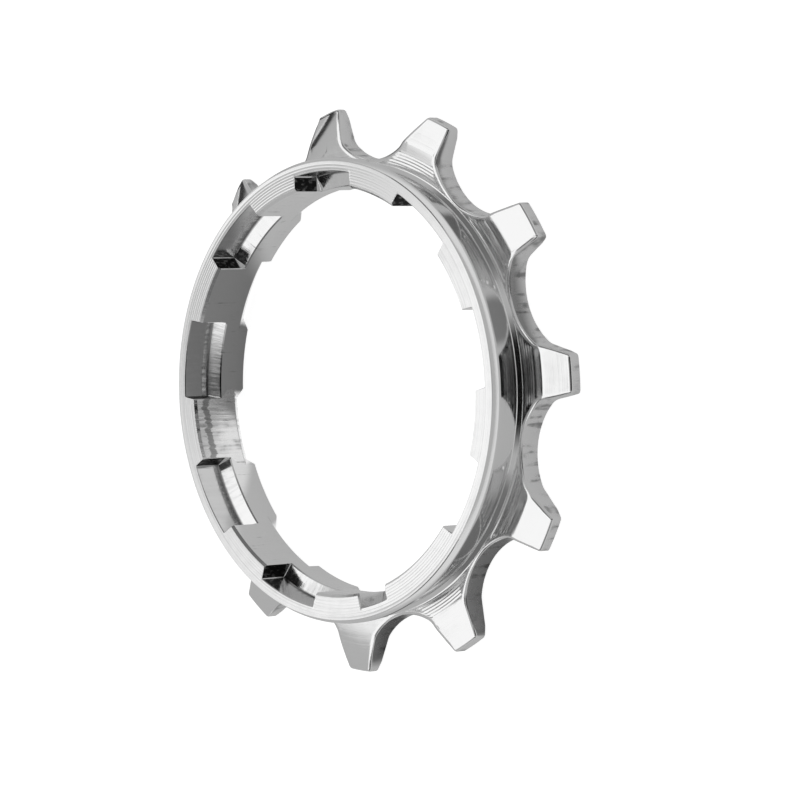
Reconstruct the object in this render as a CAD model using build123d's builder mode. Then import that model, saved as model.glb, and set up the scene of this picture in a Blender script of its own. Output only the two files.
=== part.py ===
from build123d import *
from math import cos, radians, sin, tan
import os

# Bicycle cassette cog of 11 teeth, turned and stamped from one piece of steel.
# Millimetres, +Z along the axle from the outboard face towards the next cog.
# The origin is on the axis, in the outboard face, and a tooth points along +X.

# Chain and teeth
teeth = 11
chain_pitch = 12.7
roller_seat_depth = 4.1
seat_radius = 5.6
tip_radius = 22.81
lead_flank_lean = 36.0
trail_flank_lean = 23.0
lead_flank_inset = 0.21
trail_flank_inset = 0.68
seat_corner_radius = 1.5
tip_corner_radius = 0.3

# Toothed plate
plate_thickness = 1.88
bevel_angle = 13.9
inboard_bevel_width = 2.86
outboard_bevel_width = 0.81

# Shift ramps, which cut the leading side of two teeth away towards the inboard face
ramp_first_tooth = 3
ramp_count = 2
ramp_tip_height = 0.65
ramp_outward_fall = 30.0
ramp_leading_fall = 17.0

# Spacer collar
cog_width = 5.35
neck_wall = 0.4
flare_size = 0.3
lip_overhang = 0.7
lip_thickness = 0.75
lip_chamfer_radial = 0.25
lip_chamfer_axial = 0.5

# Splined bore
bore_radius = 16.3
bore_chamfer = 0.2
notch_depth = 1.2
notch_count = 9
notch_width = 6.3
notch_phase = 7.4
narrow_notch = 7
narrow_notch_width = 3.1
narrow_notch_turn = -6.0
shelf_height = 3.0
shelf_drop = 0.5

# Outboard relief between the ledges
relief_radial = 0.82
relief_axial = 1.05
ledge_inset = 0.45
ledge_side_slope = 1.25

# Values worked out from the sizes above
overcut = 1.0
pitch_radius = chain_pitch / (2 * sin(radians(180 / teeth)))
root_radius = pitch_radius - roller_seat_depth
seat_centre = root_radius + seat_radius
tooth_angle = 360 / teeth
inboard_bevel_radius = tip_radius - inboard_bevel_width
outboard_bevel_radius = tip_radius - outboard_bevel_width
bevel_slope = tan(radians(bevel_angle))
bevel_reach = tip_radius + overcut
notch_radius = bore_radius + notch_depth
notch_angle = 360 / notch_count
neck_radius = notch_radius + neck_wall
lip_radius = neck_radius + lip_overhang


def step_along(point, distance, angle):
    """Point at a distance from another, in a direction in degrees from +X."""
    return (point[0] + distance * cos(radians(angle)), point[1] + distance * sin(radians(angle)))


# One gap between two teeth, centred on +X: the chain roller's seat with a flank at each side.
# The leading flank leans further back than the trailing one, which leaves the teeth lopsided.
with BuildSketch() as gap:
    with Locations((seat_centre, 0)):
        Circle(seat_radius)
    lead_foot = step_along((seat_centre, 0), seat_radius - lead_flank_inset, -lead_flank_lean - 90)
    trail_foot = step_along((seat_centre, 0), seat_radius - trail_flank_inset, trail_flank_lean + 90)
    flank_reach = tip_radius - root_radius + overcut
    with Locations((lead_foot[0], 0)):
        Rectangle(2 * flank_reach, 2 * tip_radius, align=(Align.MIN, Align.CENTER))
    with BuildLine():
        Polyline(
            step_along(lead_foot, -seat_radius, -lead_flank_lean),
            step_along(lead_foot, flank_reach, -lead_flank_lean),
            step_along(trail_foot, flank_reach, trail_flank_lean),
            step_along(trail_foot, -seat_radius, trail_flank_lean),
            close=True,
        )
    make_face(mode=Mode.INTERSECT)
    fillet(gap.vertices().sort_by(Axis.X)[:2], seat_corner_radius)

# Outline of the toothed plate, with its tip corners rounded.
with BuildSketch() as tooth_outline:
    Circle(tip_radius)
    with PolarLocations(0, teeth, start_angle=tooth_angle / 2):
        add(gap.sketch, mode=Mode.SUBTRACT)
    tip_corners = [v for v in tooth_outline.vertices() if Vector(*v).length > tip_radius - 0.01]
    fillet(tip_corners, tip_corner_radius)

# Shift ramp of a tooth that points along +X: what lies above a plane that falls outward and to the
# leading side.
with BuildPart() as ramp:
    with BuildSketch():
        with Locations((root_radius, 0)):
            Rectangle(
                tip_radius + overcut - root_radius,
                2 * root_radius * sin(radians(tooth_angle / 2)),
                align=(Align.MIN, Align.CENTER),
            )
    extrude(amount=plate_thickness + overcut)
    ramp_normal = (tan(radians(ramp_outward_fall)), tan(radians(ramp_leading_fall)), 1)
    split(bisect_by=Plane((tip_radius, 0, ramp_tip_height), z_dir=ramp_normal), keep=Keep.TOP)

# Angle and width of each notch. One is narrow and stands off the even pitch, so the cog seats one way.
notch_places = []
for index in range(notch_count):
    even_turn = notch_phase + index * notch_angle
    if index == narrow_notch:
        notch_places.append((even_turn + narrow_notch_turn, narrow_notch_width))
    else:
        notch_places.append((even_turn, notch_width))

# Spline notches open at the inboard end and stop at a sloping shelf above the ledges.
with BuildPart() as notches:
    shelf_slope = shelf_drop / (notch_radius - bore_radius)
    inner_radius = bore_radius - overcut
    with BuildSketch(Plane.XZ):
        with BuildLine():
            Polyline(
                (inner_radius, shelf_height - shelf_slope * (notch_radius - inner_radius)),
                (notch_radius, shelf_height),
                (notch_radius, cog_width + overcut),
                (inner_radius, cog_width + overcut),
                close=True,
            )
        make_face()
    revolve(axis=Axis.Z)
    with BuildSketch():
        for turn, width in notch_places:
            with Locations(Location((0, 0, 0), (0, 0, turn))):
                Rectangle(notch_radius + overcut, width, align=(Align.MIN, Align.CENTER))
    extrude(amount=cog_width + 2 * overcut, mode=Mode.INTERSECT)

# Conical relief of the bore at the outboard face, interrupted by the ledge under each notch.
with BuildPart() as relief:
    relief_slope = relief_radial / relief_axial
    with BuildSketch(Plane.XZ):
        with BuildLine():
            Polyline(
                (bore_radius - overcut, relief_axial),
                (bore_radius, relief_axial),
                (bore_radius + relief_radial + relief_slope * overcut, -overcut),
                (bore_radius - overcut, -overcut),
                close=True,
            )
        make_face()
    revolve(axis=Axis.Z)
    with BuildSketch(Plane.XY.offset(-2 * overcut)):
        for turn, width in notch_places:
            inner_half = width / 2 - ledge_inset - ledge_side_slope * overcut
            outer_half = width / 2 - ledge_inset + 2 * ledge_side_slope * overcut
            with Locations(Location((0, 0, 0), (0, 0, turn))):
                Polygon(
                    (bore_radius - overcut, -inner_half),
                    (bore_radius + 2 * overcut, -outer_half),
                    (bore_radius + 2 * overcut, outer_half),
                    (bore_radius - overcut, inner_half),
                    align=None,
                )
    extrude(amount=relief_axial + 3 * overcut, mode=Mode.SUBTRACT)

with BuildPart() as cog:
    # Plate with its teeth bevelled on both faces
    with BuildSketch():
        add(tooth_outline.sketch)
    extrude(amount=plate_thickness)
    with BuildSketch(Plane.XZ):
        with BuildLine():
            Polyline(
                (0, 0),
                (outboard_bevel_radius, 0),
                (bevel_reach, bevel_slope * (bevel_reach - outboard_bevel_radius)),
                (bevel_reach, plate_thickness - bevel_slope * (bevel_reach - inboard_bevel_radius)),
                (inboard_bevel_radius, plate_thickness),
                (0, plate_thickness),
                close=True,
            )
        make_face()
    revolve(axis=Axis.Z, mode=Mode.INTERSECT)
    ramp_start = ramp_first_tooth * tooth_angle
    with PolarLocations(0, ramp_count, start_angle=ramp_start, angular_range=ramp_count * tooth_angle):
        add(ramp.part, mode=Mode.SUBTRACT)

    # Collar with its flare at the plate, its neck and its lip
    with BuildSketch(Plane.XZ):
        lip_underside = cog_width - lip_thickness
        with BuildLine():
            Polyline(
                (bore_radius - overcut, 0),
                (neck_radius, 0),
                (neck_radius + flare_size, plate_thickness),
                (neck_radius, plate_thickness + flare_size),
                (neck_radius, lip_underside),
                (lip_radius, lip_underside),
                (lip_radius, cog_width - lip_chamfer_axial),
                (lip_radius - lip_chamfer_radial, cog_width),
                (bore_radius - overcut, cog_width),
                close=True,
            )
        make_face()
    revolve(axis=Axis.Z)

    # Bore with its chamfer, notches and relief
    with BuildSketch(Plane.XZ):
        with BuildLine():
            Polyline(
                (0, 0),
                (bore_radius, 0),
                (bore_radius, cog_width - bore_chamfer),
                (bore_radius + bore_chamfer, cog_width),
                (0, cog_width),
                close=True,
            )
        make_face()
    revolve(axis=Axis.Z, mode=Mode.SUBTRACT)
    add(notches.part, mode=Mode.SUBTRACT)
    add(relief.part, mode=Mode.SUBTRACT)

os.makedirs("parts", exist_ok=True)
cog.part.label = "cog"
export_step(cog.part, "parts/cog.step")
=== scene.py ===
from math import asin, atan2, cos, hypot, pi, radians, sin, tan

import bmesh
import bpy
import numpy as np
from mathutils import Matrix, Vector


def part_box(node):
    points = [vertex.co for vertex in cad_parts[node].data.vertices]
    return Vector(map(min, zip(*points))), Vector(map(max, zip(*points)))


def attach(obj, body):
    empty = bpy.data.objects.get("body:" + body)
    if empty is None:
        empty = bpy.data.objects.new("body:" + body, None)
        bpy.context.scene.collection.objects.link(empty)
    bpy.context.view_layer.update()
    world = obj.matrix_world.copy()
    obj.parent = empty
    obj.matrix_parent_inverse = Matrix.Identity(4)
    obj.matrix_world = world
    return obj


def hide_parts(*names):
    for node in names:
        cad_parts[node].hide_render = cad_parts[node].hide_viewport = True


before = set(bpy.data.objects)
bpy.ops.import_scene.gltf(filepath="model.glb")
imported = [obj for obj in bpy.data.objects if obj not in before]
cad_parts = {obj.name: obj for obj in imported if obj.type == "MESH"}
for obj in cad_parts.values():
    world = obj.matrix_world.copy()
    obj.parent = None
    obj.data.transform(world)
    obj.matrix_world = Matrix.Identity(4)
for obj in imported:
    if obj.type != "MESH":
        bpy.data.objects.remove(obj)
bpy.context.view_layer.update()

# Sizes of a bicycle cassette cog of 11 teeth in millimetres, as in the model that the frame holds. The
# inboard bevel alone is narrower than there, and falls to the same height at the tip.
MM = 0.001
low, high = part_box("cog")
COG_WIDTH = (high[2] - low[2]) / MM
TEETH = 11
CHAIN_PITCH = 12.7
ROLLER_SEAT_DEPTH = 4.1
SEAT_RADIUS = 5.6
TIP_RADIUS = 22.81
LEAD_LEAN = radians(36.0)
TRAIL_LEAN = radians(23.0)
LEAD_INSET = 0.21
TRAIL_INSET = 0.68
SEAT_CORNER = 1.5
TIP_CORNER = 0.3
PLATE = 1.88
BEVEL_SLOPE = tan(radians(13.9))
MODEL_BEVEL_WIDTH = 2.86
INBOARD_BEVEL_WIDTH = 2.45
OUTBOARD_BEVEL_WIDTH = 0.81
RAMPED_TEETH = (3, 4)
RAMP_TIP_HEIGHT = 0.65
RAMP_OUTWARD_SLOPE = tan(radians(30.0))
RAMP_LEADING_SLOPE = tan(radians(17.0))
BORE = 16.3
BORE_CHAMFER = 0.2
NOTCH_DEPTH = 1.2
NECK_WALL = 0.4
FLARE = 0.3
LIP_OVERHANG = 0.7
LIP_THICKNESS = 0.75
LIP_CHAMFER = (0.25, 0.5)
NOTCHES = 9
NOTCH_WIDTH = 6.3
NOTCH_PHASE = radians(7.4)
NARROW_NOTCH = 7
NARROW_WIDTH = 3.1
NARROW_TURN = radians(-6.0)
SHELF = 3.0
SHELF_DROP = 0.5
RELIEF = (0.82, 1.05)
LEDGE_INSET = 0.45
LEDGE_SLOPE = 1.25

# Surface detail that only the looks need, in millimetres. FLANK_ROUND is the width and depth of the
# round along the flanks, which takes at most ROUND_LIMIT of the flank's height. The tip's round takes
# over at the first distance of TIP_ZONE inside the tip, over the second one.
EDGE = 0.05
TIP_ROUND = 0.25
TIP_ZONE = (0.8, 0.5)
FLANK_ROUND = (0.36, 0.2)
ROUND_LIMIT = 0.7
RAMP_EDGE = 0.32
FACE_RING_PITCH = 0.225
FACE_RING_DEPTH = 0.01
FACE_RING_WORN = 0.1
FACE_WEAR_TURN = radians(15)
PLATE_RINGS = 5
PLATE_RING_PITCH = 0.25
PLATE_RING_DEPTH = 0.022
PLATE_RING_WIDTH = 0.15
PLATE_LINE_DEPTH = 0.045
PLATE_LINE_SPAN = (0.16, 0.235)
SERRATIONS = 165
SERRATION_DEPTH = 0.12
SHARP_ANGLE = radians(17)

# Small differences between the teeth: turns of a tip's trailing and leading corners in degrees, which
# grow from the radius TURN_START outward, and the teeth whose ridge is worn soft
TIP_TURNS = {1: (-0.9, 0.0), 2: (-0.7, -1.6), 8: (1.5, 0.0), 9: (0.5, 0.0)}
TURN_START = 20.3
SOFT_RIDGE_TEETH = (3, 4, 7, 8)
SOFT_RIDGE = 2.0

# Differences in the bore: the lug with chatter marks and the notches whose side walls get a nearly black
# painted shade
ROUGH_LUG = 4
SHADE_PAINTED_NOTCHES = range(1, 7)

# Worked out from the sizes
INBOARD_BEVEL = TIP_RADIUS - INBOARD_BEVEL_WIDTH
INBOARD_SLOPE = BEVEL_SLOPE * MODEL_BEVEL_WIDTH / INBOARD_BEVEL_WIDTH
OUTBOARD_BEVEL = TIP_RADIUS - OUTBOARD_BEVEL_WIDTH
NOTCH = BORE + NOTCH_DEPTH
NECK = NOTCH + NECK_WALL
LIP = NECK + LIP_OVERHANG
PITCH_ANGLE = 2 * pi / TEETH
NOTCH_ANGLE = 2 * pi / NOTCHES
ROOT = CHAIN_PITCH / (2 * sin(pi / TEETH)) - ROLLER_SEAT_DEPTH

# Layout of the mesh. NOTCH_COLUMNS holds the columns before a notch and inside it, for the wide notches
# and the narrow one. The row heights and radii lie between the edges that the sizes give. The lean of a
# merged wall, in radians, keeps its columns apart in rows where it has no depth.
COLUMNS_PER_TOOTH = 90
COLUMNS = COLUMNS_PER_TOOTH * TEETH
COLUMNS_PER_NOTCH = COLUMNS // NOTCHES
NOTCH_COLUMNS = ((25, 52), (24, 26))
SHELF_ROW = 5
SHELF_ROW_INSET = 0.5
SEAT_STEPS = 12
HOLLOW_STEPS = 3
FLANK_END_STEPS = 2
TIP_CORNER_STEPS = 6
ROUND_STEPS = 6
BEVEL_ROW_STEP = 0.19
FLANK_STEP = 0.5
ROWS_PER_FACE_RING = 3
LUG_ROW_HEIGHTS = (4.5, 3.7)
MIDDLE_ROW_HEIGHT = 1.8
RELIEF_ROW_HEIGHTS = (0.7, 0.35)
NECK_ROW_HEIGHTS = (3.9, 3.0)
OUTBOARD_ROW_RADII = (20.0, 18.3)
WALL_COLUMNS = 4
WALL_EASE = 0.05
MERGED_WALL_LEAN = 0.003
MERGE_DISTANCE = 0.0005
COLLAPSE_LENGTH = 0.0002

# Rows through the serrations: radius, share of the way from the teeth's columns to even ones, and share
# of the depth
SERRATION_ROWS = ((18.1, 0.5, 0), (18.0, 1, 1), (17.6, 1, 1), (17.3, 1, 1))

# Texture of the plating: noise detail and spots, how they mix and what they do to the sheen, and the
# depth of its lines in millimetres
GRAIN_DETAIL = 3.0
SPOTS_PER_METRE = 1100.0
SPOT_SHARE = 0.35
SHEEN_SPAN = (0.4, 0.6)
LINE_DEPTH = 0.05

# Darker ragged band in the notches' corners and the band on the lug with chatter marks, in millimetres.
# Spans run from clean to dark.
CORNER_DARK_HEIGHTS = (2.9, 2.4)
CORNER_DARK_RADII = (17.3, 17.45)
CORNER_DARK_WAVE = 1.4
CORNER_DARK_STRENGTH = (0.25, 0.85)
BAND_HEIGHT = 4.8
BAND_HALF_WIDTH = (0.42, 0.24)
BAND_WAVE = 1.2

# View of the photograph, solved from the cog's round edges: tilt of the axis from the line of sight,
# turn of the cog, place of its origin in the picture in pixels, and distance in millimetres
PICTURE = 800
VIEW_TILT = radians(46.294)
VIEW_ROLL = radians(2.544)
COG_TURN = radians(3.72)
ORIGIN_X, ORIGIN_Y = 378.164, 388.739
DISTANCE = 350.229
FOCAL_PIXELS = 4350.0

# Floor: half its width in metres, how far it lies under the cog in millimetres, its glow before the
# camera, and the shade of its paint, first for the camera and then a darker painted reflection for the
# cog's metal
FLOOR_SIZE = 2.0
FLOOR_GAP = 0.02
FLOOR_GLOW = 0.85
FLOOR_PAINT_AND_REFLECTION_SHADE = (0.6, 0.2)

# Painted reflections: tones that the floor glows with for the cog's metal alone, the one inside the bore,
# and those outside it with the radii between which each takes over. Spots of painted reflection have a
# place, an inner and an outer radius, and a tone.
REFLECTION_INSIDE = 0.43
REFLECTION_STEPS = ((16.4, 17.0, 0.9), (17.2, 18.0, 0.39), (27.0, 40.0, 0.68))
INSIDE_REFLECTION_SPOTS = (
    ((-14.5, 4.2), 4.4, 8.0, 0.12),
    ((-13.3, -3.0), 1.8, 3.0, 0.7),
)
OUTSIDE_REFLECTION_SPOTS = (
    ((14.6, 16.4), 2.2, 3.2, 0.05),
    ((12.4, -16.6), 3.4, 4.6, 0.08),
    ((1.2, -21.4), 2.4, 3.4, 0.03),
    ((20.8, 6.2), 2.0, 3.4, 0.12),
)

# Studio, by direction from the cog, with x, y and z from -1 to 1. A name alone is a level of light, and
# the spans run from outside to inside. The softbox's left edge leans with y, up to the bend. Patches are
# azimuth, elevation, outer and inner radius in degrees, and the two cloths share all but the azimuth.
SURROUNDINGS = 0.48
SOFTBOX = 1.1
SOFTBOX_LEFT = (-0.805, -0.748)
SOFTBOX_LEFT_LEAN = 0.75
SOFTBOX_LEFT_BEND = 0.12
SOFTBOX_RIGHT = (-0.1, -0.2)
SOFTBOX_RIGHT_LEAN = 0.3
SOFTBOX_ENDS = (0.7, 0.6)
SOFTBOX_FOOT = (0.63, 0.67)
OVERHEAD = 0.1
OVERHEAD_PATCH = (0, 86.5, 15, 6)
SCREEN = 0.04
SCREEN_X = (-0.78, -0.88)
SCREEN_Y = (0.02, 0.12)
SCREEN_TOP = (0.44, 0.3)
SCREEN_FOOT = (0.0, 0.06)
CLOTH = 0.16
CLOTH_AZIMUTHS = (85, -85)
CLOTH_PATCH = (44, 30, 22)
CLOTH_TOP = (0.77, 0.73)
CAMERA = 0.003
CAMERA_PATCH = (-2, 43.7, 27, 14)


def polar(radius, angle):
    """Point in the plane at a radius and an angle in radians."""
    return np.array((radius * cos(angle), radius * sin(angle)))


def reach(start, direction, centre, radius, sign):
    """Where a line from start meets a circle, at its first (-1) or last (+1) crossing."""
    offset = start - centre
    along = offset @ direction
    root = (along * along - offset @ offset + radius * radius) ** 0.5
    return start + direction * (-along + sign * root)


def arc(centre, start, end, count):
    """Points on an arc from start up to, but without, end."""
    first = atan2(*(start - centre)[::-1])
    turn = (atan2(*(end - centre)[::-1]) - first + pi) % (2 * pi) - pi
    radius = hypot(*(start - centre))
    return [centre + polar(radius, first + turn * step / count) for step in range(count)]


def line(start, end, count):
    """Points on a straight line from start up to, but without, end."""
    return [start + (end - start) * step / count for step in range(count)]


def half_gap(inset, lean):
    """One side of a gap centred on +X: from the bottom of the roller's seat out to the tooth's tip."""
    seat_centre = np.array((ROOT + SEAT_RADIUS, 0.0))
    outward = polar(1.0, lean)
    into_tooth = polar(1.0, lean + pi / 2)
    foot = seat_centre + (SEAT_RADIUS - inset) * into_tooth
    hollow = reach(foot - SEAT_CORNER * into_tooth, outward, seat_centre, SEAT_RADIUS - SEAT_CORNER, -1)
    seat_end = seat_centre + (hollow - seat_centre) * SEAT_RADIUS / (SEAT_RADIUS - SEAT_CORNER)
    flank_start = hollow + SEAT_CORNER * into_tooth
    corner = reach(foot + TIP_CORNER * into_tooth, outward, np.zeros(2), TIP_RADIUS - TIP_CORNER, 1)
    flank_end = corner - TIP_CORNER * into_tooth
    tip = corner * TIP_RADIUS / (TIP_RADIUS - TIP_CORNER)
    points = arc(seat_centre, np.array((ROOT, 0.0)), seat_end, SEAT_STEPS)
    points += arc(hollow, seat_end, flank_start, HOLLOW_STEPS)
    stop = flank_start
    for ridge in (INBOARD_BEVEL, OUTBOARD_BEVEL):
        if hypot(*stop) < ridge:
            next_stop = reach(flank_start, outward, np.zeros(2), ridge, 1)
            points += line(stop, next_stop, 1 + int(hypot(*(next_stop - stop)) / FLANK_STEP))
            stop = next_stop
    points += line(stop, flank_end, FLANK_END_STEPS)
    points += arc(corner, flank_end, tip, TIP_CORNER_STEPS)
    return points, tip


def turned_by(points, angle):
    """Points turned about the axis."""
    spin = np.array(((cos(angle), sin(angle)), (-sin(angle), cos(angle))))
    return np.array(points) @ spin


def near_tip(radius):
    """1 at a tooth's tip, 0 along its flanks."""
    start, width = TIP_ZONE
    share = np.clip((radius - TIP_RADIUS + start) / width, 0, 1)
    return share * share * (3 - 2 * share)


def whole_outline():
    """Outline of the toothed plate and its insets at both faces, as radius and angle for each column."""
    trail, trail_tip = half_gap(TRAIL_INSET, TRAIL_LEAN)
    lead, lead_tip = half_gap(LEAD_INSET, LEAD_LEAN)
    trail = turned_by(trail, -PITCH_ANGLE / 2)
    trail_tip = turned_by(trail_tip, -PITCH_ANGLE / 2)
    lead = turned_by(np.array(lead + [lead_tip]) * (1, -1), PITCH_ANGLE / 2)[::-1]
    tip_count = COLUMNS_PER_TOOTH - len(trail) - len(lead) + 1
    tip = arc(np.zeros(2), trail_tip, lead[0], tip_count)
    tooth = np.vstack((trail, tip, lead[:-1]))
    radius = np.hypot(*tooth.T)
    outward = np.clip((radius - TURN_START) / (TIP_RADIUS - TURN_START), 0, 1)
    share = np.clip((np.arange(len(tooth)) - len(trail)) / len(tip), 0, 1)
    teeth = []
    for index in range(TEETH):
        first, last = TIP_TURNS.get(index, (0.0, 0.0))
        angle = np.arctan2(tooth[:, 1], tooth[:, 0]) + np.radians(first + (last - first) * share) * outward
        bent = np.stack((radius * np.cos(angle), radius * np.sin(angle)), 1)
        teeth.append(turned_by(bent, index * PITCH_ANGLE))
    outline = np.vstack(teeth)
    tangent = np.roll(outline, -1, axis=0) - np.roll(outline, 1, axis=0)
    tangent /= np.linalg.norm(tangent, axis=1)[:, None]
    inward = np.stack((-tangent[:, 1], tangent[:, 0]), axis=1)
    width = FLANK_ROUND[0] + (TIP_ROUND - FLANK_ROUND[0]) * near_tip(np.hypot(*outline.T))[:, None]
    result = []
    for points in (outline, outline + width * inward, outline + EDGE * inward):
        angles = np.unwrap(np.arctan2(points[:, 1], points[:, 0]))
        angles += 2 * pi * round((-PITCH_ANGLE / 2 - angles[0]) / (2 * pi))
        angles = np.maximum.accumulate(angles)
        result.append((np.hypot(points[:, 0], points[:, 1]), angles))
    return result


def start_at_first_column(radius, angle, shift):
    """Moves a closed row round by some columns, with its angles kept rising."""
    return np.roll(radius, -shift), np.concatenate((angle[shift:], angle[:shift] + 2 * pi))


def wall_angle(radius, width, grow=0.0):
    """Half the angle that a notch takes at a radius."""
    return asin((width / 2 + grow) / radius)


def ledge_angle(radius, width):
    """Half the angle that a ledge takes at a radius, between its slanted sides."""
    lean = LEDGE_SLOPE
    start = width / 2 - LEDGE_INSET - lean * BORE
    a = 1 + lean * lean
    x = (-lean * start + (a * radius * radius - start * start) ** 0.5) / a
    return atan2(start + lean * x, x)


def inner_row(lug, pocket, lug_angle, pocket_angle):
    """A row round the bore. lug and pocket are (radius, height) on and between the splines."""
    ease = EDGE / BORE
    angles, shares = [], []
    for index in range(NOTCHES):
        centre, width = 0.0, NOTCH_WIDTH
        if index == NARROW_NOTCH:
            centre, width = NARROW_TURN, NARROW_WIDTH
        before, inside = NOTCH_COLUMNS[index == NARROW_NOTCH]
        out, into = lug_angle(width), pocket_angle(width)
        near = [before + step for step in range(WALL_COLUMNS + 1)]
        far = [column + inside + WALL_COLUMNS for column in near]
        halves = [out + ease, out, (out + into) / 2, into, into - ease]
        stops = [0] + near + far + [COLUMNS_PER_NOTCH]
        stop_angles = [-NOTCH_ANGLE / 2] + [centre - a for a in halves]
        stop_angles += [centre + a for a in halves[::-1]] + [NOTCH_ANGLE / 2]
        rise = [0, WALL_EASE, 0.5, 1 - WALL_EASE, 1]
        stop_shares = [0] + rise + rise[::-1] + [0]
        columns = np.arange(COLUMNS_PER_NOTCH)
        turn = NOTCH_PHASE + index * NOTCH_ANGLE
        angles.append(turn + np.interp(columns, stops, stop_angles))
        shares.append(np.interp(columns, stops, stop_shares))
    share = np.concatenate(shares)
    radius = lug[0] + (pocket[0] - lug[0]) * share
    height = lug[1] + (pocket[1] - lug[1]) * share
    return radius, np.concatenate(angles), height


def shelf_height(radius):
    """Height of a notch's sloping shelf at a radius."""
    return SHELF - SHELF_DROP * (NOTCH - radius) / (NOTCH - BORE)


def relief_radius(height):
    """Radius of the conical relief at a height over the outboard face."""
    return BORE + RELIEF[0] * max(0.0, 1 - height / RELIEF[1])


def bore_rows():
    """Rows down the splined bore, from the collar's end face to the outboard face."""
    rows = []

    def notch_row(lug, pocket, grow=0.0):
        lean = MERGED_WALL_LEAN if lug[0] == pocket[0] else 0
        rows.append(inner_row(
            lug, pocket,
            lambda width: wall_angle(lug[0], width, grow),
            lambda width: wall_angle(pocket[0], width, grow) - lean,
        ))

    def relief_row(lug, pocket):
        lean = MERGED_WALL_LEAN if lug[0] == pocket[0] else 0
        rows.append(inner_row(
            lug, pocket,
            lambda width: ledge_angle(lug[0], width),
            lambda width: ledge_angle(pocket[0], width) - lean,
        ))

    notch_row((BORE + BORE_CHAMFER, COG_WIDTH), (NOTCH + EDGE, COG_WIDTH), EDGE)
    notch_row((BORE, COG_WIDTH - BORE_CHAMFER), (NOTCH, COG_WIDTH - EDGE))
    for height in (*LUG_ROW_HEIGHTS, SHELF + EDGE):
        notch_row((BORE, height), (NOTCH, height))
    notch_row((BORE, SHELF), (NOTCH - EDGE, shelf_height(NOTCH - EDGE)))
    shelf_start = BORE + 2 * EDGE
    lug_height = shelf_height(NOTCH - SHELF_ROW_INSET)
    notch_row((BORE, lug_height), (shelf_start, shelf_height(shelf_start)))
    edge_height = shelf_height(BORE) - EDGE
    notch_row((BORE, edge_height), (BORE, edge_height))
    relief_row((BORE, MIDDLE_ROW_HEIGHT), (BORE, MIDDLE_ROW_HEIGHT))
    relief_row((BORE, RELIEF[1] + EDGE), (BORE, RELIEF[1] + EDGE))
    for height in (RELIEF[1] - EDGE, *RELIEF_ROW_HEIGHTS, EDGE):
        relief_row((relief_radius(height), height), (BORE, height))
    relief_row((relief_radius(0), 0), (BORE + EDGE, 0))
    return rows


def bore_columns():
    """Columns of the notches' side walls with painted shade, and those of the one lug with chatter marks.
    """
    shade_painted_walls, lug = [], []
    for index in range(NOTCHES):
        before, inside = NOTCH_COLUMNS[index == NARROW_NOTCH]
        first = index * COLUMNS_PER_NOTCH
        if index in SHADE_PAINTED_NOTCHES:
            for side in (before + 1, before + inside + WALL_COLUMNS + 1):
                shade_painted_walls += [first + side, first + side + 1]
        if index == ROUGH_LUG:
            lug += range(first + before + inside + 2 * WALL_COLUMNS, first + COLUMNS_PER_NOTCH)
        if index == ROUGH_LUG + 1:
            lug += range(first, first + before)
    return shade_painted_walls, lug


def groove(offset, pitch):
    """Depth of a turned groove, from 0 at its cusps to 1 half way between them."""
    return abs(sin(pi * offset / pitch))


def on_teeth(angle, teeth):
    """1 over the named teeth and 0 elsewhere."""
    turns = [np.abs((angle - tooth * PITCH_ANGLE + pi) % (2 * pi) - pi) for tooth in teeth]
    return (np.min(turns, axis=0) < PITCH_ANGLE / 2) * 1.0


def end_face_rows(edge_row):
    """Rows over the collar's turned end face, from its bore edge to its outer edge."""
    radius, angle, height = edge_row
    rows = []
    step = FACE_RING_PITCH / ROWS_PER_FACE_RING
    first = BORE + BORE_CHAMFER + EDGE
    count = int((LIP - LIP_CHAMFER[0] - 2 * EDGE - first) / step)
    unworn = FACE_RING_WORN + (1 - FACE_RING_WORN) * np.sin(angle - FACE_WEAR_TURN) ** 4
    for index in range(count):
        ring = first + index * step
        depth = FACE_RING_DEPTH * groove(index * step, FACE_RING_PITCH)
        beyond = ring > radius + EDGE
        rows.append((np.maximum(ring, radius + EDGE / 2), angle, COG_WIDTH - depth * unworn * beyond))
    return rows


def inboard_height(radius, angle):
    """Height of the plate's inboard face, with the shift ramps on two teeth."""
    past = radius - INBOARD_BEVEL
    soft = EDGE / 2 + (SOFT_RIDGE - EDGE / 2) * on_teeth(angle, SOFT_RIDGE_TEETH)
    height = PLATE - INBOARD_SLOPE * (past + np.sqrt(past * past + soft * soft)) / 2
    for tooth in RAMPED_TEETH:
        turn = (angle - tooth * PITCH_ANGLE + pi) % (2 * pi) - pi
        ramp = RAMP_TIP_HEIGHT - RAMP_OUTWARD_SLOPE * (radius * np.cos(turn) - TIP_RADIUS)
        ramp = ramp - RAMP_LEADING_SLOPE * radius * np.sin(turn)
        gap = height - ramp
        lower = (height + ramp - np.sqrt(gap * gap + RAMP_EDGE * RAMP_EDGE)) / 2
        height = np.where((np.abs(turn) < PITCH_ANGLE / 2) & (gap > -3 * RAMP_EDGE), lower, height)
    return height


def outboard_height(radius):
    """Height of the plate's outboard face."""
    return BEVEL_SLOPE * np.maximum(0, radius - OUTBOARD_BEVEL)


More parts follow.
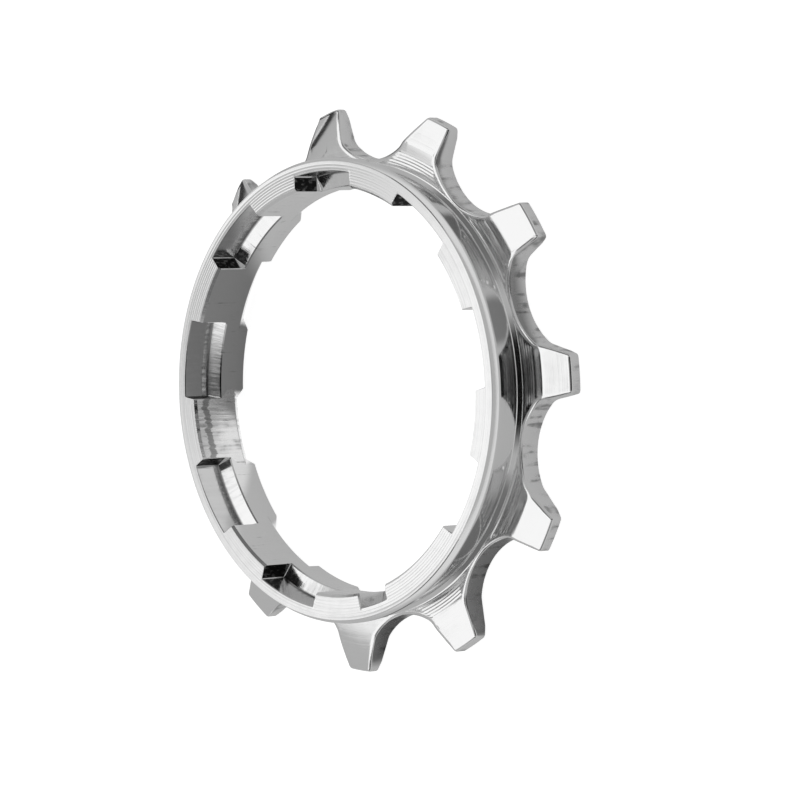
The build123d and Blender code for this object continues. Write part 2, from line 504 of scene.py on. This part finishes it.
def collar_section():
    """Radius and height of the collar's outside, from its end face to the foot of its flare."""
    chamfer_start = LIP - LIP_CHAMFER[0]
    chamfer_end = COG_WIDTH - LIP_CHAMFER[1]
    underside = COG_WIDTH - LIP_THICKNESS
    foot = PLATE + FLARE
    return [
        (chamfer_start - EDGE, COG_WIDTH),
        (chamfer_start + EDGE / 2, COG_WIDTH - EDGE),
        (LIP - EDGE / 2, chamfer_end + EDGE),
        (LIP, chamfer_end - EDGE),
        (LIP, underside + EDGE),
        (LIP - EDGE, underside),
        (NECK + EDGE, underside),
        (NECK, underside - EDGE),
        *((NECK, height) for height in NECK_ROW_HEIGHTS),
        (NECK, foot + EDGE),
        (NECK + EDGE / 2, foot - EDGE / 2),
        (NECK + FLARE - EDGE / 2, PLATE + EDGE / 2),
        (NECK + FLARE + EDGE, PLATE),
    ]


def collar_rows(inner_angle, outer_angle):
    """Rows round the collar's outside, turning from the bore's columns to the teeth's."""
    section = collar_section()
    rows = []
    for index, (radius, height) in enumerate(section):
        share = index / (len(section) - 1)
        angle = inner_angle + (outer_angle - inner_angle) * share
        rows.append((np.full(COLUMNS, radius), angle, np.full(COLUMNS, height)))
    return rows


def plate_rows(inset_radius, angle):
    """Rows over the plate's inboard face: turned rings, a plain band, the ridge and the bevel."""
    rows = []

    def add_row(ring, depth=0.0):
        radius = np.minimum(ring, inset_radius)
        cut = depth * (ring < inset_radius - 2 * EDGE) * (1 - on_teeth(angle, SOFT_RIDGE_TEETH))
        rows.append((radius, angle, inboard_height(radius, angle) - cut))

    first = NECK + FLARE + 3 * EDGE
    for index in range(PLATE_RINGS):
        ring = first + index * PLATE_RING_PITCH
        add_row(ring)
        add_row(ring + PLATE_RING_WIDTH, PLATE_RING_DEPTH)
        for side in PLATE_LINE_SPAN:
            add_row(ring + side, PLATE_LINE_DEPTH)
    add_row(first + PLATE_RINGS * PLATE_RING_PITCH)
    add_row(INBOARD_BEVEL - EDGE)
    for ring in np.arange(INBOARD_BEVEL + EDGE, TIP_RADIUS, BEVEL_ROW_STEP):
        add_row(ring)
    return rows


def flank_rows(outline, inset):
    """Rows down the toothed edge, from its rounded inboard edge to the outboard face."""
    turned, stamped = [], []
    face = inboard_height(*inset)
    bottom = outboard_height(outline[0]) + EDGE
    depth = FLANK_ROUND[1] + (TIP_ROUND - FLANK_ROUND[1]) * near_tip(outline[0])
    drop = np.minimum(depth, (face - bottom) * ROUND_LIMIT)
    for step in range(ROUND_STEPS + 1):
        lean = pi / 2 * step / ROUND_STEPS
        out = sin(lean)
        radius = inset[0] + (outline[0] - inset[0]) * out
        angle = inset[1] + (outline[1] - inset[1]) * out
        turned.append((radius, angle, face - drop * (1 - cos(lean))))
    top = turned[-1][2]
    for share in (0, 1 / 3, 2 / 3, 1):
        stamped.append((outline[0], outline[1], top + (bottom - top) * share))
    return turned[:-1], stamped


def outboard_rows(inset_radius, angle, inner_angle):
    """Rows over the outboard face, from the teeth to the lockring's serrations."""
    rows = []
    for ring in (TIP_RADIUS, OUTBOARD_BEVEL, *OUTBOARD_ROW_RADII):
        radius = np.minimum(ring, inset_radius)
        rows.append((radius, angle, outboard_height(radius)))
    even = inner_angle[0] + np.arange(COLUMNS) * 2 * pi / COLUMNS
    wave = np.abs((even * SERRATIONS / (2 * pi)) % 1 * 2 - 1) * SERRATION_DEPTH
    for ring, share, depth in SERRATION_ROWS:
        rows.append((np.full(COLUMNS, ring), angle + (even - angle) * share, wave * depth))
    return rows


def build_cog():
    """The whole cog as one closed grid of rows and columns."""
    bore = bore_rows()
    outlines = whole_outline()
    shift = round((bore[0][1][0] - outlines[0][1][0]) / (2 * pi / COLUMNS))
    outline, near, far = [start_at_first_column(*row, shift) for row in outlines]
    rounded_edge, flank = flank_rows(outline, near)
    sections = [
        ("broached", bore[::-1]),
        ("turned", end_face_rows(bore[0])),
        ("turned", collar_rows(bore[0][1], near[1])),
        ("turned", plate_rows(*near)),
        ("turned", rounded_edge),
        ("stamped", flank),
        ("turned", outboard_rows(*far, bore[0][1])),
    ]
    rows, finishes = [], []
    for finish, group in sections:
        rows += group
        finishes += [finish] * len(group)
    points = np.array([(r * np.cos(a), r * np.sin(a), z * np.ones(COLUMNS)) for r, a, z in rows])
    finishes = np.repeat(np.array(finishes, dtype=object)[:, None], COLUMNS, axis=1)
    shade_painted_walls, rough_lug = bore_columns()
    notch_rows = slice(len(bore) - SHELF_ROW - 1, len(bore))
    # Painted shade: the notches' side walls turn nearly black
    finishes[notch_rows, shade_painted_walls] = "raw"
    finishes[:len(bore), rough_lug] = "chattered"
    return points.transpose(0, 2, 1) * MM, finishes


def grid_mesh(name, points, finishes, materials):
    """A mesh from a closed grid, with collapsed faces removed and its hard edges marked."""
    row_count = len(points)
    mesh = bpy.data.meshes.new(name)
    faces, slots = [], []
    names = list(materials)
    for row in range(row_count):
        following = (row + 1) % row_count
        for column in range(COLUMNS):
            after = (column + 1) % COLUMNS
            faces.append((
                row * COLUMNS + column, row * COLUMNS + after,
                following * COLUMNS + after, following * COLUMNS + column,
            ))
            slots.append(names.index(finishes[row][column]))
    mesh.from_pydata(points.reshape(-1, 3).tolist(), [], faces)
    mesh.polygons.foreach_set("material_index", slots)
    shape = bmesh.new()
    shape.from_mesh(mesh)
    bmesh.ops.remove_doubles(shape, verts=shape.verts, dist=MERGE_DISTANCE * MM)
    bmesh.ops.dissolve_degenerate(shape, edges=shape.edges, dist=COLLAPSE_LENGTH * MM)
    bmesh.ops.recalc_face_normals(shape, faces=shape.faces)
    shape.to_mesh(mesh)
    shape.free()
    mesh.polygons.foreach_set("use_smooth", [True] * len(mesh.polygons))
    mesh.set_sharp_from_angle(angle=SHARP_ANGLE)
    for material in materials.values():
        mesh.materials.append(material)
    return mesh


def node(tree, kind, inputs=None, **settings):
    """Adds a shader node with its settings and the values or links of its inputs."""
    made = tree.nodes.new(kind)
    for key, value in settings.items():
        setattr(made, key, value)
    for key, value in (inputs or {}).items():
        if isinstance(value, bpy.types.NodeSocket):
            tree.links.new(value, made.inputs[key])
        else:
            made.inputs[key].default_value = value
    return made


def new_material(name):
    """An empty node material and its tree."""
    material = bpy.data.materials.new(name)
    material.use_nodes = True
    material.node_tree.nodes.clear()
    return material, material.node_tree


def blend(tree, share, low_value, high_value):
    """Goes from one value to another with a share from 0 to 1."""
    return node(tree, "ShaderNodeMix", {0: share, 2: low_value, 3: high_value}).outputs[0]


def slope(tree, value, start, end):
    """Goes smoothly from 0 to 1 while a value goes from start to end."""
    return node(tree, "ShaderNodeMapRange", {
        "Value": value, "From Min": start, "From Max": end, "To Min": 0.0, "To Max": 1.0,
    }, interpolation_type="SMOOTHSTEP").outputs[0]


def slope_mm(tree, value, span):
    """The same over a span in millimetres, for a value in metres."""
    start, end = span
    return slope(tree, value, start * MM, end * MM)


def combine(tree, operation, first, second):
    """One step of arithmetic."""
    return node(tree, "ShaderNodeMath", {0: first, 1: second}, operation=operation).outputs[0]


def magnitude(tree, value):
    """A value without its sign."""
    return node(tree, "ShaderNodeMath", {0: value}, operation="ABSOLUTE").outputs[0]


def all_of(tree, *shares):
    """The product of several shares from 0 to 1."""
    result = shares[0]
    for share in shares[1:]:
        result = combine(tree, "MULTIPLY", result, share)
    return result


def length_of(tree, place):
    """Distance of a place from the origin."""
    return node(tree, "ShaderNodeVectorMath", {0: place}, operation="LENGTH").outputs["Value"]


def parts_of(tree, place):
    """The x, y and z of a place and its distance from the axis."""
    x, y, z = node(tree, "ShaderNodeSeparateXYZ", {0: place}).outputs
    flat = node(tree, "ShaderNodeCombineXYZ", {0: x, 1: y}).outputs[0]
    return x, y, z, length_of(tree, flat)


def noise(tree, place, scale):
    """Fine noise from 0 to 1."""
    settings = {"Vector": place, "Scale": scale, "Detail": GRAIN_DETAIL}
    return node(tree, "ShaderNodeTexNoise", settings).outputs["Fac"]


def grain(tree, place, cell):
    """Noise whose cells have a length round, outward and along the axis, in millimetres."""
    x, y, z, outward = parts_of(tree, place)
    turn = combine(tree, "ARCTAN2", y, x)
    cut = node(tree, "ShaderNodeCombineXYZ", {
        0: combine(tree, "MULTIPLY", turn, NECK / cell[0]),
        1: combine(tree, "MULTIPLY", outward, 1 / (cell[1] * MM)),
        2: combine(tree, "MULTIPLY", z, 1 / (cell[2] * MM)),
    }).outputs[0]
    return noise(tree, cut, 1.0)


def plated(name, cell, roughness, bump, tone, blotch, mark=None):
    """Bright plating with the fine lines of its cut, blotches of a darker tone and perhaps a mark.

    cell is the size of the lines and bump their strength. roughness, blotch and tone are pairs: smooth
    and rough, where the blotches start and are full, and dark and bright."""
    material, tree = new_material("plated_" + name)
    place = node(tree, "ShaderNodeTexCoord").outputs["Object"]
    lines = grain(tree, place, cell)
    spots = noise(tree, place, SPOTS_PER_METRE)
    uneven = blend(tree, SPOT_SHARE, lines, spots)
    sheen = blend(tree, slope(tree, uneven, *SHEEN_SPAN), *roughness)
    dark = slope(tree, uneven, *blotch)
    if mark:
        dark = combine(tree, "MAXIMUM", dark, mark(tree, place, lines))
    shade = blend(tree, dark, tone[1], tone[0])
    colour = node(tree, "ShaderNodeCombineXYZ", {0: shade, 1: shade, 2: shade}).outputs[0]
    relief = node(tree, "ShaderNodeBump", {
        "Height": lines, "Strength": bump, "Distance": LINE_DEPTH * MM,
    }).outputs[0]
    surface = node(tree, "ShaderNodeBsdfPrincipled", {
        "Base Color": colour, "Metallic": 1.0, "Roughness": sheen, "Normal": relief,
    })
    node(tree, "ShaderNodeOutputMaterial", {"Surface": surface.outputs[0]})
    return material


def corner_darkening(tree, place, lines):
    """A ragged darker band low on the notch floors, where a notch ends at its shelf."""
    z, outward = parts_of(tree, place)[2:]
    ragged = combine(tree, "SUBTRACT", z, combine(tree, "MULTIPLY", lines, CORNER_DARK_WAVE * MM))
    low_end = blend(tree, slope_mm(tree, ragged, CORNER_DARK_HEIGHTS), *CORNER_DARK_STRENGTH)
    return all_of(tree, low_end, slope_mm(tree, outward, CORNER_DARK_RADII))


def wavy_band(tree, place, lines):
    """A wavy darker band round the middle of the lug with chatter marks."""
    z = node(tree, "ShaderNodeSeparateXYZ", {0: place}).outputs[2]
    wavy = combine(tree, "ADD", z, combine(tree, "MULTIPLY", lines, BAND_WAVE * MM))
    away = magnitude(tree, combine(tree, "SUBTRACT", wavy, BAND_HEIGHT * MM))
    return slope_mm(tree, away, BAND_HALF_WIDTH)


def with_reflection_spots(tree, place, level, spots):
    """Blends the tones of some round spots of painted reflection on the floor into a level."""
    for spot, inner, outer, tone in spots:
        target = (spot[0] * MM, spot[1] * MM, 0.0)
        distance = node(tree, "ShaderNodeVectorMath", {0: place, 1: target}, operation="DISTANCE")
        inside = slope_mm(tree, distance.outputs["Value"], (outer, inner))
        level = blend(tree, inside, level, tone)
    return level


def floor_material():
    """Pale floor that shows white behind the cog and still takes its shadow; to the cog's metal it shows
    darker paint and a glow of painted reflections, with tones and spots by place.
    """
    material, tree = new_material("floor_white_with_painted_reflections")
    rays = node(tree, "ShaderNodeLightPath").outputs
    place = node(tree, "ShaderNodeTexCoord").outputs["Object"]
    distance = length_of(tree, place)
    # Painted reflections: tones by place that only glossy rays see
    painted_reflection = with_reflection_spots(tree, place, REFLECTION_INSIDE, INSIDE_REFLECTION_SPOTS)
    for start, end, tone in REFLECTION_STEPS:
        painted_reflection = blend(tree, slope_mm(tree, distance, (start, end)), painted_reflection, tone)
    painted_reflection = with_reflection_spots(tree, place, painted_reflection, OUTSIDE_REFLECTION_SPOTS)
    # Darker paint seen in the metal alone: a painted reflection
    shade = blend(tree, rays["Is Glossy Ray"], *FLOOR_PAINT_AND_REFLECTION_SHADE)
    paint = node(tree, "ShaderNodeBsdfDiffuse", {"Color": shade}).outputs[0]
    reflection_glow = combine(tree, "MULTIPLY", rays["Is Glossy Ray"], painted_reflection)
    seen = blend(tree, rays["Is Camera Ray"], reflection_glow, FLOOR_GLOW)
    glow = node(tree, "ShaderNodeEmission", {"Color": (1, 1, 1, 1), "Strength": seen}).outputs[0]
    both = node(tree, "ShaderNodeAddShader", {0: paint, 1: glow}).outputs[0]
    node(tree, "ShaderNodeOutputMaterial", {"Surface": both})
    return material


def camera_axes():
    """The picture's right, up and back directions in the cog's frame."""
    normal = np.array((-sin(VIEW_TILT) * cos(VIEW_ROLL), sin(VIEW_TILT) * sin(VIEW_ROLL), -cos(VIEW_TILT)))
    picture_up = np.array((0.0, -1.0, 0.0))
    y = picture_up - normal * (picture_up @ normal)
    y /= np.linalg.norm(y)
    x = np.cross(y, normal)
    turned_x = x * cos(COG_TURN) + y * sin(COG_TURN)
    turned_y = y * cos(COG_TURN) - x * sin(COG_TURN)
    columns = np.stack((turned_x, turned_y, normal), axis=1)
    return columns[0], -columns[1], -columns[2]


def add_camera():
    """The camera at the photograph's viewing angle."""
    right, up, back = camera_axes()
    centre = PICTURE / 2
    offset = np.array((ORIGIN_X - centre, ORIGIN_Y - centre)) * DISTANCE / FOCAL_PIXELS
    spot = -(offset[0] * right - offset[1] * up - DISTANCE * back)
    data = bpy.data.cameras.new("camera")
    data.sensor_width = 36.0
    data.lens = FOCAL_PIXELS * data.sensor_width / PICTURE
    data.clip_start = 0.01
    data.clip_end = 10.0
    camera = bpy.data.objects.new("camera", data)
    camera.matrix_world = Matrix((
        (right[0], up[0], back[0], spot[0] * MM),
        (right[1], up[1], back[1], spot[1] * MM),
        (right[2], up[2], back[2], spot[2] * MM),
        (0, 0, 0, 1),
    ))
    bpy.context.collection.objects.link(camera)
    bpy.context.scene.camera = camera


def add_floor():
    """A plain pale floor under the cog."""
    mesh = bpy.data.meshes.new("floor")
    corners = [(FLOOR_SIZE * x, FLOOR_SIZE * y, 0) for x, y in ((-1, -1), (1, -1), (1, 1), (-1, 1))]
    mesh.from_pydata(corners, [], [(0, 1, 2, 3)])
    mesh.materials.append(floor_material())
    floor = bpy.data.objects.new("floor", mesh)
    floor.location.z = low[2] - FLOOR_GAP * MM
    bpy.context.collection.objects.link(floor)


def soft_patch(tree, direction, azimuth, elevation, outer, inner):
    """1 inside a round patch of the surroundings and 0 outside it, with a soft edge. Angles in degrees."""
    level = cos(radians(elevation))
    aim = (level * cos(radians(azimuth)), level * sin(radians(azimuth)), sin(radians(elevation)))
    dot = node(tree, "ShaderNodeVectorMath", {0: direction, 1: aim}, operation="DOT_PRODUCT")
    return slope(tree, dot.outputs["Value"], cos(radians(outer)), cos(radians(inner)))


def light_studio():
    """Plain surroundings that the metal mirrors, with a white softbox overhead, a dark screen, a darker
    cloth at each side and the dark camera."""
    world = bpy.data.worlds.new("studio")
    bpy.context.scene.world = world
    world.use_nodes = True
    tree = world.node_tree
    tree.nodes.clear()
    direction = node(tree, "ShaderNodeTexCoord").outputs["Generated"]
    x, y, z = node(tree, "ShaderNodeSeparateXYZ", {0: direction}).outputs
    aside = magnitude(tree, y)
    near_side = combine(tree, "MINIMUM", y, SOFTBOX_LEFT_BEND)
    left_edge = combine(tree, "SUBTRACT", x, combine(tree, "MULTIPLY", near_side, SOFTBOX_LEFT_LEAN))
    right_edge = combine(tree, "SUBTRACT", x, combine(tree, "MULTIPLY", aside, SOFTBOX_RIGHT_LEAN))
    softbox = all_of(
        tree,
        slope(tree, left_edge, *SOFTBOX_LEFT),
        slope(tree, right_edge, *SOFTBOX_RIGHT),
        slope(tree, aside, *SOFTBOX_ENDS),
        slope(tree, z, *SOFTBOX_FOOT),
    )
    level = blend(tree, softbox, SURROUNDINGS, SOFTBOX)
    level = blend(tree, soft_patch(tree, direction, *OVERHEAD_PATCH), level, OVERHEAD)
    screen = all_of(
        tree,
        slope(tree, x, *SCREEN_X),
        slope(tree, y, *SCREEN_Y),
        slope(tree, z, *SCREEN_TOP),
        slope(tree, z, *SCREEN_FOOT),
    )
    level = blend(tree, screen, level, SCREEN)
    for azimuth in CLOTH_AZIMUTHS:
        cloth = all_of(tree, soft_patch(tree, direction, azimuth, *CLOTH_PATCH), slope(tree, z, *CLOTH_TOP))
        level = blend(tree, cloth, level, CLOTH)
    level = blend(tree, soft_patch(tree, direction, *CAMERA_PATCH), level, CAMERA)
    rays = node(tree, "ShaderNodeLightPath").outputs
    seen = blend(tree, rays["Is Camera Ray"], level, 1.0)
    sky = node(tree, "ShaderNodeBackground", {"Color": (1, 1, 1, 1), "Strength": seen})
    node(tree, "ShaderNodeOutputWorld", {"Surface": sky.outputs[0]})


# Finishes of the plating, each with the values that plated() takes
FINISHES = {
    "broached": ((0.2, 2.0, 5.0), (0.08, 0.2), 0.1, (0.25, 0.84), (0.6, 0.75), corner_darkening),
    # Side walls of the notches: rougher, with a nearly black painted shade
    "raw": ((0.3, 0.3, 0.5), (0.3, 0.5), 0.3, (0.02, 0.16), (0.4, 0.5)),
    "chattered": ((0.4, 2.0, 5.0), (0.2, 0.4), 0.7, (0.4, 0.95), (0.52, 0.68), wavy_band),
    "turned": ((25.0, 0.09, 0.09), (0.09, 0.16), 0.04, (0.72, 0.84), (0.6, 0.75)),
    "stamped": ((0.45, 3.0, 4.0), (0.1, 0.35), 0.6, (0.38, 0.88), (0.51, 0.66)),
}

materials = {name: plated(name, *values) for name, values in FINISHES.items()}
points, finishes = build_cog()
cog = bpy.data.objects.new("cog_detailed", grid_mesh("cog_detailed", points, finishes, materials))
bpy.context.collection.objects.link(cog)
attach(cog, "root")
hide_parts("cog")

add_floor()
add_camera()
light_studio()
bpy.context.scene.view_settings.view_transform = "Standard"
